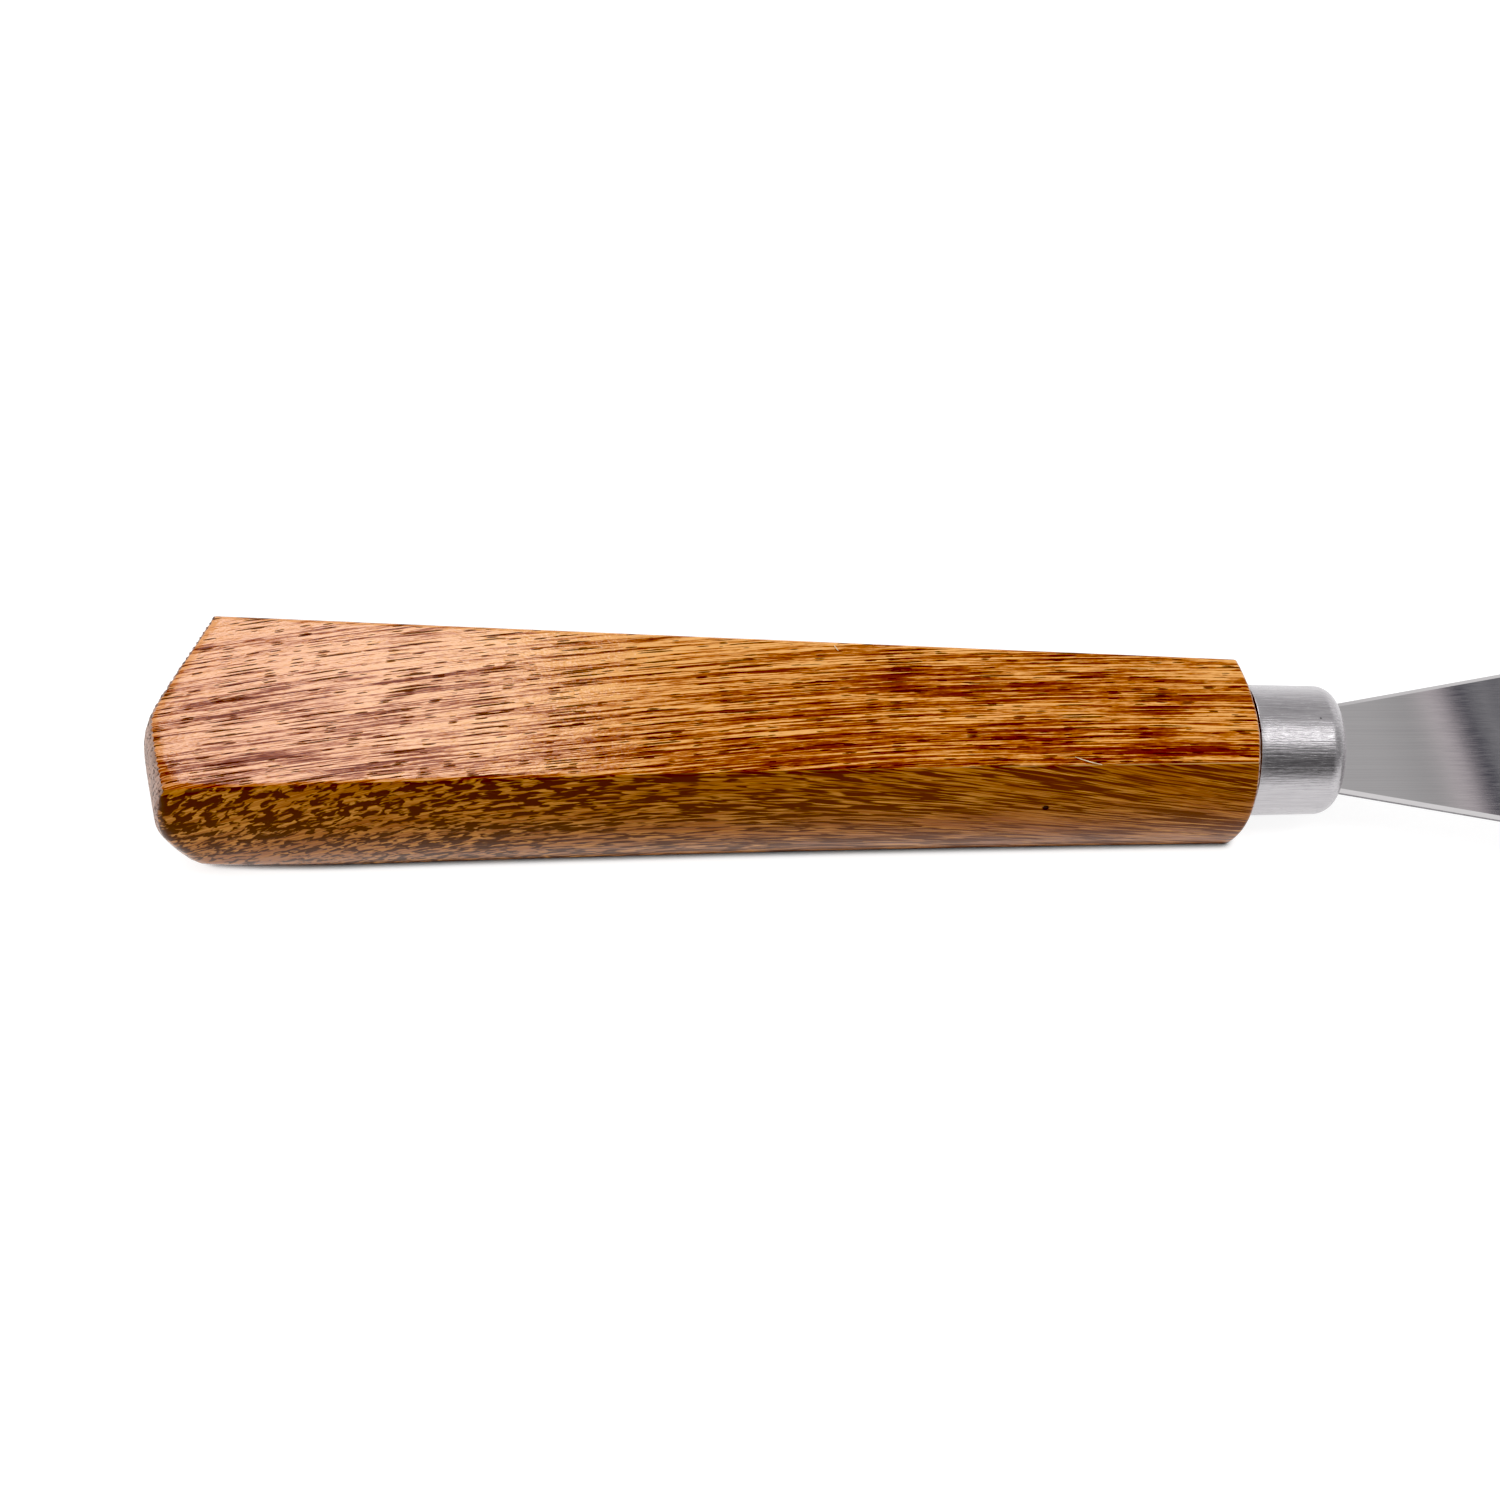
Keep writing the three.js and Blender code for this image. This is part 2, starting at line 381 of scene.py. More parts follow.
def rounded_block(straight):
    """Rounds the straight block's edges: crisp along the handle, well worn around the butt's underside."""
    x, y, z = straight.T
    underside = (1 - smooth(x / BUTT_LOWER_REACH)) * smooth(0.5 - z / HALF_THICKNESS)
    corner = (1 - smooth(x / BUTT_CORNER_REACH)) * smooth((-y - 6) / 3)
    radius = (ARRIS_RADIUS + BUTT_LOWER_RADIUS * underside + BUTT_CORNER_RADIUS * corner)[:, None]
    low = np.array([0.0, -BLOCK_HALF_WIDTH, -HALF_THICKNESS])
    high = np.array([HANDLE_LENGTH, BLOCK_HALF_WIDTH, HALF_THICKNESS])
    core = np.clip(straight, low + radius, high - radius)
    out = straight - core
    return core + out / np.linalg.norm(out, axis=1, keepdims=True) * radius


def shaped_handle(straight):
    """Gives the straight block the handle's flare, bulged sides, pointed butt and domed front."""
    along = straight[:, 0] / HANDLE_LENGTH
    share = straight[:, 1] / BLOCK_HALF_WIDTH
    z = straight[:, 2]
    x = lerp(-HANDLE_LENGTH, 0.0, along)
    for _ in range(4):
        middle = BUTT_POINT_Y * -x / HANDLE_LENGTH
        edge = np.where(share > 0, half_width("far", x, z), -half_width("near", x, z))
        y = lerp(middle, edge, np.abs(share))
        x = lerp(butt_x(y, z), front_x(y, z), along)
    return np.stack([x, y, z], axis=1)


def grain_rise(x):
    """How far the grain has drifted across the flat faces: steep at the butt and level in front."""
    return running_total(x, (-120, -60, -30, 0), (0.21, 0.10, 0.03, -0.02))


def side_rise(x):
    """The same for the sides, where the figure climbs, levels out and falls towards the front."""
    return running_total(x, (-120, -100, -80, -55, -30, 0), (0.34, 0.28, 0.12, 0.0, -0.2, -0.3))


def running_total(x, places, rates):
    """How much has built up by x, at a rate that changes from place to place along the handle."""
    stations = np.linspace(-HANDLE_LENGTH - 2, TENON_LENGTH, 300)
    total = np.cumsum(np.interp(stations, places, rates)) * (stations[1] - stations[0])
    return np.interp(x, stations, total)


def grain_space(points):
    """Coordinates that run along, across and up through the wood's grain, in millimetres."""
    x, y, z = points.T
    drift = noise(points * (0.03, 0.12, 0.12), 5) * 0.5
    return np.stack([x, y - grain_rise(x) + drift, z - side_rise(x) + drift * 0.6], axis=1)


def figure_space(points):
    """The same for the figure of the sides, counted in flecks: short at the butt and long in front."""
    x, y, z = points.T
    places = (-120, -95, -70, -40, 0)
    along = running_total(x, places, (0.9, 0.75, 0.34, 0.2, 0.11))
    layers = np.interp(x, places, (2.1, 2.2, 2.8, 3.6, 4.6))
    up = z * layers - side_rise(x) * 2.6 + noise(points * (0.08, 0.1, 0.3), 6) * 0.8
    return np.stack([along, y * 0.3, up], axis=1)


def arris_wear(points, normals):
    """From 0 on the faces to 1 in the middle of the rounded long edges, broken up along them."""
    turned_down = np.minimum(np.abs(normals[:, 2]), np.hypot(normals[:, 0], normals[:, 1]))
    patches = smooth(noise(points * (0.7, 0.2, 0.2), 21) * 1.6 + 0.6)
    front = smooth(1 + points[:, 0] / 60.0)
    return smooth((turned_down - 0.55) / 0.12) * patches * lerp(0.15, 1.0, front)


def saw_marks(points, normals):
    """The butt's saw marks from -1 to 1, how far each point belongs to the sawn butt, and how much of the
    marks shows: all of it on the far cut."""
    waver = noise(points * (0.2, 0.2, 0.15), 11) * SAW_WAVER
    across = points[:, 1] + SAW_LEAN * points[:, 2] + waver
    marks = np.sin(across * 2 * math.pi / SAW_PITCH)
    cut = smooth((-normals[:, 0] - 0.25) / 0.3)
    far_side = smooth((points[:, 1] - BUTT_POINT_Y) / 2)
    return marks, cut, lerp(NEAR_CUT_SHARE, 1.0, far_side)


def handle_relief(points, normals):
    """Heights above the smooth handle: lacquer ripple, grain ridges and the saw's marks."""
    grain = grain_space(points)
    ripple = (noise(points * 0.35, 1) + noise(points * 0.9, 2) / 2) * LACQUER_RIPPLE
    ridges = noise(grain * (0.12, 2.2, 2.2), 3) * GRAIN_RIDGES
    marks, cut, shown = saw_marks(points, normals)
    near_arris = smooth((np.abs(points[:, 2]) - 6.2) / 0.8)
    torn = lerp(SAW_DEPTH["face"], SAW_DEPTH["arris"], near_arris) * marks
    rough = noise(points * (0.5, 2.5, 0.6), 12) * CUT_ROUGHNESS
    return (ripple + ridges) * (1 - cut) + cut * shown * (torn + rough - CUT_SETBACK)


def notch_darkening_and_painted_shade(points, normals):
    """How dark the wood is painted, from 0 to 1: darker in the saw's notches along the butt's arrises, and
    painted shade along the front half's lower arrises, where the knife meets the table."""
    marks, cut, shown = saw_marks(points, normals)
    on_arris = smooth(1 - np.abs(np.abs(normals[:, 2]) - 0.6) / 0.5)
    in_notches = smooth(-marks - 0.1) * cut * on_arris * (shown > 0.9)
    down = -normals[:, 2]
    # Painted shade: the lower arrises of the front part are darkened where the knife rests on the table.
    painted_contact_shade = smooth((down - 0.42) / 0.15) * smooth((0.97 - down) / 0.07) * smooth((points[:, 0] + 75) / 25)
    return np.maximum(in_notches, 0.9 * painted_contact_shade)


def build_handle(materials):
    """The wooden handle with its tenon and the slot for the tang."""
    straight, quads, sides = lattice_box(
        spaced(0.0, HANDLE_LENGTH, GRID_STEP["along"], ARRIS_RADIUS),
        spaced(-BLOCK_HALF_WIDTH, BLOCK_HALF_WIDTH, GRID_STEP["across"], ARRIS_RADIUS),
        spaced(-HALF_THICKNESS, HALF_THICKNESS, GRID_STEP["up"], ARRIS_RADIUS),
    )
    slot_of_axis = np.array([2, 1, 0])
    points = shaped_handle(rounded_block(straight))
    handle = new_object("handle_lacquered_wood", points, quads, materials, slot_of_axis[sides[:, 0]])
    normals = vertex_normals(handle)
    set_points(handle, points + normals * handle_relief(points, normals)[:, None])
    set_attribute(handle, "notch_darkening_and_painted_shade", "FLOAT", notch_darkening_and_painted_shade(points, normals))
    set_attribute(handle, "grain", "FLOAT_VECTOR", grain_space(points))
    set_attribute(handle, "figure", "FLOAT_VECTOR", figure_space(points))
    set_attribute(handle, "wear", "FLOAT", arris_wear(points, normals))
    tenon = [
        (0.0, -2.0),
        (TENON_RADIUS, -2.0),
        (TENON_RADIUS, TENON_LENGTH - 0.5),
        (TENON_RADIUS - 0.5, TENON_LENGTH),
        (0.0, TENON_LENGTH),
    ]
    combine(handle, *turned(tenon, 96), "UNION")
    slot = block(
        -TANG_LENGTH - RESIN_THICKNESS,
        TENON_LENGTH + 1,
        TANG_WIDTH + 2 * RESIN_THICKNESS,
        BLADE_THICKNESS + 2 * RESIN_THICKNESS,
    )
    combine(handle, *slot, "DIFFERENCE")
    return handle


# ---------------------------------------------------------------- ferrule


def quarter(centre_radius, centre_x, radius, steps, turn):
    """Points of a quarter circle in (radius, x), starting in the direction that turn quarter turns give."""
    angles = (np.linspace(0, 1, steps + 1) + turn) * math.pi / 2
    return [(centre_radius + radius * math.cos(a), centre_x + radius * math.sin(a)) for a in angles]


def ferrule_outline():
    """The cup's section: up its outside and over the shoulder, then back down its inside to the rim."""
    arc_x = FERRULE_LENGTH - FERRULE_SHOULDER
    arc_radius = FERRULE_FRONT_RADIUS - FERRULE_SHOULDER
    lip = FERRULE_LIP
    lip_x = FERRULE_REAR_GAP + lip
    rear = FERRULE_REAR_RADIUS
    inner = rear - FERRULE_WALL
    barrel_places = np.linspace(0, 1, 12)[:-1]
    barrel = [(lerp(rear, FERRULE_FRONT_RADIUS, t), lerp(lip_x, arc_x, t)) for t in barrel_places]
    outside = quarter(rear - lip, lip_x, lip, 4, -1)[:-1] + barrel
    shoulder = quarter(arc_radius, arc_x, FERRULE_SHOULDER, 14, 0)
    front = [(arc_radius * t, FERRULE_LENGTH) for t in (0.85, 0.6, 0.3)]
    middle = [(FERRULE_EYE, FERRULE_LENGTH), (FERRULE_EYE, FERRULE_LENGTH - FERRULE_WALL)]
    inside = quarter(arc_radius, arc_x, FERRULE_SHOULDER - FERRULE_WALL, 8, 0)[::-1]
    rim = quarter(inner + lip, lip_x, -lip, 3, 0)
    return outside + shoulder + front + middle + inside + rim + [outside[0]]


def build_ferrule(material):
    """The drawn cup, with shallow dents around its outside, and the slot that the blade comes out of."""
    points, faces = turned(ferrule_outline(), 192)
    x, y, z = points.T
    radius = np.hypot(y, z)
    around = np.arctan2(y, z)
    ring = np.stack([np.cos(around) * 3, np.sin(around) * 3, x * 0.12], axis=1)
    dent = (noise(ring, 31) + noise(ring * (6, 6, 1), 32) / 3) * FERRULE_DENTS
    middle_of_wall = FERRULE_REAR_RADIUS - FERRULE_WALL * 0.5
    behind_shoulder = smooth((8.4 - x) / 2.0)
    outer = smooth((radius - middle_of_wall) / 0.2) * behind_shoulder
    factor = (1 + dent * outer / np.maximum(radius, 1e-3))[:, None]
    dented = points * np.where([1, 0, 0], 1, factor)
    ferrule = new_object("ferrule_drawn_cup", dented, faces, [material])
    slot = block(
        BLADE_HEEL_X - SLOT_CLEARANCE,
        FERRULE_LENGTH + 1,
        BLADE_MOUTH_WIDTH + 2 * SLOT_CLEARANCE,
        BLADE_THICKNESS + 2 * SLOT_CLEARANCE,
    )
    combine(ferrule, *slot, "DIFFERENCE")
    ferrule.data.set_sharp_from_angle(angle=math.radians(40))
    return ferrule


# ---------------------------------------------------------------- blade


def leaf_half_width(x):
    """Half the leaf's width: a straight flare that ends in rounded tip corners."""
    tip_x = FERRULE_LENGTH + BLADE_REACH
    corner_x = tip_x - BLADE_CORNER
    along = np.minimum(1, (x - FERRULE_LENGTH) / (corner_x - FERRULE_LENGTH))
    straight = lerp(BLADE_MOUTH_WIDTH, BLADE_TIP_WIDTH, along) / 2
    into_corner = np.clip(x - corner_x, 0, BLADE_CORNER)
    return straight - BLADE_CORNER + np.sqrt(BLADE_CORNER ** 2 - into_corner ** 2)


def blade_stations():
    """Places along the blade: sparse in the tang, close in the leaf and closest in its rounded corners."""
    tip_x = FERRULE_LENGTH + BLADE_REACH
    corner = tip_x - BLADE_CORNER * (1 - np.sin(np.linspace(0, math.pi / 2, 13)))
    tang = np.linspace(-TANG_LENGTH, BLADE_HEEL_X, 12)
    leaf = np.linspace(FERRULE_LENGTH, tip_x - BLADE_CORNER, 90)[:-1]
    return np.concatenate([tang, [BLADE_HEEL_X + 0.02, BLADE_HEEL_X + 0.5], leaf, corner])


def build_blade(materials):
    """The leaf and its tang. Across it, the flat runs from -1 to 1 and the bevelled edges reach 2."""
    across = np.concatenate([[-2.0], np.linspace(-1, 1, 41), [2.0]])
    straight, quads, sides = lattice_box(blade_stations(), across, np.array([-1.0, 0.0, 1.0]))
    x, v, w = straight.T
    in_leaf = x > BLADE_HEEL_X
    half = np.where(in_leaf, leaf_half_width(x), TANG_WIDTH / 2)
    is_edge = np.abs(v) > 1.5
    flat = np.clip(v, -1, 1) * (half - BEVEL_WIDTH)
    y = np.where(is_edge, np.sign(v) * half, flat)
    out_of_mouth = np.clip((x - FERRULE_LENGTH) / BLADE_REACH, 0, 1)
    thickness = lerp(BLADE_THICKNESS, BLADE_TIP_THICKNESS, out_of_mouth)
    share = np.where(is_edge & in_leaf, BEVEL_EDGE_SHARE, 1)
    clear_of_mouth = smooth((x - FERRULE_LENGTH) / 20)
    wave = noise(np.stack([x / 26, y / 22, 0 * x], axis=1), 41) * BLADE_WAVINESS * clear_of_mouth
    points = np.stack([x, y, w * share * thickness / 2 + wave], axis=1)
    is_side = (sides[:, 0] != 2).astype(int)
    return new_object("blade_leaf", points, quads, materials, is_side, smooth_angle=8.0)


# ---------------------------------------------------------------- raised fibre


def build_fibre(name, start, end, thickness, material):
    """A pale fibre that stands up a little through the lacquer of the top face."""
    start, end = np.array([*start, HALF_THICKNESS]), np.array([*end, HALF_THICKNESS])
    steps, sides = 24, 8
    points, faces = [], []
    up = np.array([0.0, 0.0, 1.0])
    across = np.cross(end - start, up)
    length = np.linalg.norm(across)
    across /= length
    for step in range(steps + 1):
        t = step / steps
        arch = length * math.sin(math.pi * t)
        centre = lerp(start, end, t) + across * 0.05 * arch + up * (0.05 + 0.03 * arch)
        radius = thickness * (0.2 + 0.3 * math.sin(math.pi * (0.15 + 0.7 * t)))
        for side in range(sides):
            angle = side * 2 * math.pi / sides
            points.append(centre + radius * (across * math.cos(angle) + up * math.sin(angle)))
    for step in range(steps):
        for side in range(sides):
            a, b = step * sides + side, step * sides + (side + 1) % sides
            faces.append((a, b, b + sides, a + sides))
    faces.append(tuple(range(sides))[::-1])
    faces.append(tuple(range(steps * sides, (steps + 1) * sides)))
    return new_object(name, points, faces, [material], smooth_angle=60)


# ---------------------------------------------------------------- node trees


def add(tree, kind, inputs=None, **settings):
    """Adds a node. An input that is another node's output is linked, and any other value is set."""
    node = tree.nodes.new(kind)
    for key, value in settings.items():
        setattr(node, key, value)
    for key, value in (inputs or {}).items():
        socket = node.inputs[key]
        if isinstance(value, bpy.types.NodeSocket):
            tree.links.new(value, socket)
        else:
            socket.default_value = value
    return node


def pattern(tree, vector, scale, detail=2.0, roughness=0.5, distortion=0.0):
    """Noise from 0 to 1, with its own number of bumps a millimetre along each axis."""
    stretched = add(tree, "ShaderNodeVectorMath", {0: vector, 1: scale}, operation="MULTIPLY")
    texture = add(tree, "ShaderNodeTexNoise", {
        "Vector": stretched.outputs[0],
        "Scale": 1.0,
        "Detail": detail,
        "Roughness": roughness,
        "Distortion": distortion,
    })
    return texture.outputs["Fac"]


def maths(tree, operation, first, second):
    """The result of a sum, product or other operation on two values."""
    return add(tree, "ShaderNodeMath", {0: first, 1: second}, operation=operation).outputs[0]


def blended(tree, *parts):
    """The sum of several values, each with its share."""
    total = None
    for value, share in parts:
        part = maths(tree, "MULTIPLY", value, share)
        total = part if total is None else maths(tree, "ADD", total, part)
    return total


def between(tree, value, low, high, to_low=0.0, to_high=1.0):
    """Goes smoothly from one value at low to another at high."""
    node = add(tree, "ShaderNodeMapRange", interpolation_type="SMOOTHSTEP")
    tree.links.new(value, node.inputs["Value"])
    for name, number in (("From Min", low), ("From Max", high), ("To Min", to_low), ("To Max", to_high)):
        node.inputs[name].default_value = number
    return node.outputs["Result"]


def ramp(tree, value, *stops):
    """A colour for each place from 0 to 1. The stops are (place, (red, green, blue))."""
    node = add(tree, "ShaderNodeValToRGB", {0: value})
    elements = node.color_ramp.elements
    while len(elements) < len(stops):
        elements.new(0.5)
    for element, (place_on_ramp, colour) in zip(elements, stops):
        element.position = place_on_ramp
        element.color = (*colour, 1.0)
    return node.outputs["Color"]


def mixed(tree, share, first, second, blend="MIX"):
    """The first colour with a share of the second mixed in."""
    node = add(tree, "ShaderNodeMix", data_type="RGBA", blend_type=blend)
    for socket, value in ((0, share), (6, first), (7, second)):
        if isinstance(value, bpy.types.NodeSocket):
            tree.links.new(value, node.inputs[socket])
        elif isinstance(value, tuple):
            node.inputs[socket].default_value = (*value, 1.0)
        else:
            node.inputs[socket].default_value = value
    return node.outputs[2]


def bump(tree, height, depth):
    """A normal from a height from 0 to 1 that stands for a depth in millimetres."""
    node = add(tree, "ShaderNodeBump", {"Height": height, "Distance": depth * MM, "Strength": 1.0})
    return node.outputs["Normal"]


def new_material(name, sockets):
    """A material with one Principled shader and these values on its sockets."""
    material = bpy.data.materials.new(name)
    material.use_nodes = True
    shader = material.node_tree.nodes["Principled BSDF"]
    for key, value in sockets.items():
        shader.inputs[key].default_value = value
    return material, material.node_tree, shader


def spot(tree, centre, full, faded):
    """1 within a small distance of a place in knife millimetres, fading to 0 at a larger one."""
    ends = {0: object_millimetres(tree), 1: tuple(place(*centre) / MM)}
    gap = add(tree, "ShaderNodeVectorMath", ends, operation="DISTANCE")
    return between(tree, gap.outputs["Value"], full, faded, 1.0, 0.0)


def connect(tree, shader, **sources):
    """Links sources to the shader's sockets, named with _ for a space."""
    for name, source in sources.items():
        tree.links.new(source, shader.inputs[name.replace("_", " ")])


def attribute(tree, name):
    """The node that reads a mesh's stored attribute."""
    return add(tree, "ShaderNodeAttribute", attribute_name=name)


def object_millimetres(tree):
    """Object coordinates in millimetres."""
    coordinates = add(tree, "ShaderNodeTexCoord").outputs["Object"]
    factors = {0: coordinates, 1: (1 / MM,) * 3}
    return add(tree, "ShaderNodeVectorMath", factors, operation="MULTIPLY").outputs[0]


# ---------------------------------------------------------------- materials

# The lacquer over the flat faces and the thinner one over the sides. The weight of each is patterned.
LACQUER = {"Coat Roughness": 0.15, "Coat IOR": 1.5, "Specular IOR Level": 0.1}
SIDE_LACQUER = {"Coat Roughness": 0.16, "Coat IOR": 1.3, "Specular IOR Level": 0.05}


def pores(tree, grain, scale, size, share, shift=0.0):
    """Open pores, 1 inside and 0 outside: dashes along the grain, one in some of the cells of a grid."""
    factors = {0: grain, 1: scale, 2: (shift,) * 3}
    stretched = add(tree, "ShaderNodeVectorMath", factors, operation="MULTIPLY_ADD").outputs[0]
    grid = {"Vector": stretched, "Scale": 1.0}
    cells = add(tree, "ShaderNodeTexVoronoi", grid, voronoi_dimensions="2D").outputs
    chance = add(tree, "ShaderNodeSeparateColor", {0: cells["Color"]}).outputs["Red"]
    reach = between(tree, chance, 1 - share, 1, 0, size)
    ragged = pattern(tree, grain, (2.0, 7.0, 1.0), 1)
    inside = blended(tree, (reach, 1.0), (cells["Distance"], -1.0), (ragged, 0.12), (chance, 0.04))
    return between(tree, inside, 0.07, 0.11)


def wood_flat():
    """The board's flat faces: straight tan and red-brown lines with open pores, under gloss lacquer."""
    material, tree, shader = new_material("wood_flat_grain", LACQUER)
    grain = attribute(tree, "grain").outputs["Vector"]
    notch_and_shade = attribute(tree, "notch_darkening_and_painted_shade").outputs["Fac"]
    wear = attribute(tree, "wear").outputs["Fac"]
    along, across, _ = add(tree, "ShaderNodeSeparateXYZ", {0: grain}).outputs
    bands = pattern(tree, grain, (0.010, 0.24, 0.1), 2)
    streaks = pattern(tree, grain, (0.05, 2.6, 0.2), 2, 0.6)
    fine = pattern(tree, grain, (0.14, 6.0, 0.3), 2, 0.6)
    flecked = pattern(tree, grain, (0.9, 4.2, 0.5), 2, 0.6)
    tone = blended(
        tree,
        (bands, 0.6),
        (streaks, 1.2),
        (fine, 1.45),
        (flecked, 0.5),
        # Lighter towards the far edge: partly the wood's own tone, partly painted light for the far edge's
        # stronger reflection.
        (across, 0.010),
        (along, -0.0004),
    )
    colour = ramp(
        tree,
        between(tree, tone, 1.50, 2.06),
        (0.0, (0.16, 0.026, 0.001)),
        (0.34, (0.36, 0.080, 0.003)),
        (0.62, (0.56, 0.185, 0.017)),
        (1.0, (0.86, 0.43, 0.13)),
    )
    from_butt = between(tree, along, -115, -55)
    butt_tint = ramp(tree, from_butt, (0.0, (0.90, 0.79, 0.92)), (1.0, (1.0, 1.0, 1.0)))
    colour = mixed(tree, 1.0, colour, butt_tint, "MULTIPLY")
    long_pores = pores(tree, grain, scale=(0.11, 2.3, 1.0), size=0.27, share=0.6)
    short_pores = pores(tree, grain, scale=(0.38, 2.7, 1.0), size=0.27, share=0.5, shift=31.7)
    open_pores = maths(tree, "MAXIMUM", long_pores, short_pores)
    colour = mixed(tree, maths(tree, "MULTIPLY", open_pores, 0.88), colour, (0.06, 0.012, 0.003))
    colour = mixed(tree, wear, colour, (0.62, 0.36, 0.16))
    # Painted shade along the lower arrises, and darker saw notches: the wood goes near black there.
    colour = mixed(tree, notch_and_shade, colour, (0.03, 0.007, 0.001))
    ripple = pattern(tree, grain, (0.5, 1.3, 1.3), 2, 0.5)
    peel = pattern(tree, grain, (2.2, 3.6, 1.0), 1)
    height = blended(tree, (streaks, 0.2), (peel, 0.4), (open_pores, -0.12), (ripple, 0.45))
    clear_of_pores_notches_and_shade = between(tree, maths(tree, "ADD", open_pores, notch_and_shade), 0, 1, 1.0, 0.05)
    gloss = maths(tree, "MULTIPLY", clear_of_pores_notches_and_shade, between(tree, tone, 1.55, 1.95, 0.2, 1.0))
    roughness = between(tree, streaks, 0.3, 0.7, 0.36, 0.5)
    connect(tree, shader, Base_Color=colour, Roughness=roughness, Coat_Weight=gloss)
    connect(tree, shader, Normal=bump(tree, height, 0.12), Coat_Normal=bump(tree, height, 0.06))
    return material


def wood_side():
    """The board's sawn sides: dark flecks and waves on ochre, where the layers of the wood run out."""
    material, tree, shader = new_material("wood_side_figure", SIDE_LACQUER)
    grain = attribute(tree, "grain").outputs["Vector"]
    figure = attribute(tree, "figure").outputs["Vector"]
    notch_and_shade = attribute(tree, "notch_darkening_and_painted_shade").outputs["Fac"]
    wear = attribute(tree, "wear").outputs["Fac"]
    flecks = pattern(tree, figure, (1.0, 1.0, 1.0), 1.5, 0.5, 0.6)
    fine = pattern(tree, grain, (0.16, 0.3, 5.5), 2)
    broad = pattern(tree, grain, (0.04, 0.1, 0.25), 1)
    ochre = ramp(tree, broad, (0.3, (0.40, 0.140, 0.014)), (0.7, (0.60, 0.260, 0.050)))
    colour = mixed(tree, between(tree, fine, 0.35, 0.65, 0.8, 0.0), ochre, (0.22, 0.05, 0.002))
    dark = between(tree, blended(tree, (flecks, 1.0), (fine, 0.3), (broad, 0.3)), 0.75, 0.84)
    along = add(tree, "ShaderNodeSeparateXYZ", {0: grain}).outputs["X"]
    towards_front = between(tree, along, -90, -20)
    fleck_colour = ramp(tree, towards_front, (0.0, (0.09, 0.030, 0.007)), (1.0, (0.13, 0.036, 0.005)))
    colour = mixed(tree, dark, colour, fleck_colour)
    colour = mixed(tree, spot(tree, SIDE_PIT, 0.25, 0.5), colour, (0.02, 0.006, 0.003))
    colour = mixed(tree, wear, colour, (0.58, 0.32, 0.13))
    # Painted shade along the lower arrises, and darker saw notches: the wood goes near black there.
    colour = mixed(tree, notch_and_shade, colour, (0.02, 0.008, 0.004))
    height = blended(tree, (flecks, 0.3), (fine, 0.4), (pattern(tree, grain, (0.5, 1.6, 1.6), 3), 0.5))
    normal = bump(tree, height, 0.03)
    roughness = between(tree, fine, 0.3, 0.7, 0.36, 0.48)
    off_flecks = between(tree, dark, 0, 1, 1.0, 0.6)
    off_notch_and_shade = between(tree, notch_and_shade, 0, 1, 1.0, 0.2)
    gloss = maths(tree, "MULTIPLY", off_flecks, off_notch_and_shade)
    connect(tree, shader, Base_Color=colour, Roughness=roughness, Normal=normal)
    connect(tree, shader, Coat_Weight=gloss, Coat_Normal=normal)
    return material


def wood_end():
    """End grain under thin, dusty lacquer at the butt, the front shoulder and the tenon."""
    material, tree, shader = new_material("wood_end_grain", {"Coat Weight": 0.35, "Coat Roughness": 0.4})
    grain = attribute(tree, "grain").outputs["Vector"]
    cloud = pattern(tree, grain, (0.4, 0.7, 0.5), 3)
    closed = between(tree, pattern(tree, grain, (1.0, 3.2, 3.2), 2), 0.36, 0.46)
    colour = ramp(tree, cloud, (0.3, (0.30, 0.16, 0.11)), (0.7, (0.60, 0.40, 0.32)))
    colour = mixed(tree, closed, (0.08, 0.03, 0.015), colour)
    # Painted shade along the front end's lower arrises, and darker saw notches at the butt.
    colour = mixed(tree, attribute(tree, "notch_darkening_and_painted_shade").outputs["Fac"], colour, (0.03, 0.008, 0.003))
    normal = bump(tree, blended(tree, (closed, 0.6), (cloud, 0.5)), 0.06)
    roughness = between(tree, cloud, 0.3, 0.7, 0.45, 0.65)
    connect(tree, shader, Base_Color=colour, Roughness=roughness, Normal=normal, Coat_Normal=normal)
    return material


def drawn_aluminium():
    """Satin aluminium with the fine lengthwise marks that drawing leaves."""
    material, tree, shader = new_material("satin_aluminium", {"Metallic": 1.0})
    place_mm = object_millimetres(tree)
    marks = pattern(tree, place_mm, (0.16, 6.0, 6.0), 3, 0.7)
    broad = pattern(tree, place_mm, (0.05, 0.9, 0.9), 2)
    colour = ramp(tree, marks, (0.3, (0.43, 0.415, 0.43)), (0.7, (0.58, 0.56, 0.575)))
    colour = mixed(tree, spot(tree, FERRULE_SPECK, 0.08, 0.16), colour, (0.01, 0.01, 0.01))
    normal = bump(tree, blended(tree, (marks, 0.7), (broad, 0.5)), 0.05)
    roughness = between(tree, marks, 0.3, 0.7, 0.17, 0.28)
    connect(tree, shader, Base_Color=colour, Roughness=roughness, Normal=normal)
    return material


def polished_steel():
    """Spring steel, ground lengthwise and lightly polished."""
    material, tree, shader = new_material("ground_spring_steel", {"Metallic": 1.0})
    place_mm = object_millimetres(tree)
    marks = pattern(tree, place_mm, (0.05, 9.0, 3.0), 3, 0.7)
    colour = ramp(tree, marks, (0.3, (0.64, 0.62, 0.63)), (0.7, (0.70, 0.68, 0.685)))
    normal = bump(tree, marks, 0.001)
    roughness = between(tree, marks, 0.3, 0.7, 0.02, 0.035)
    connect(tree, shader, Base_Color=colour, Roughness=roughness, Normal=normal)
    return material


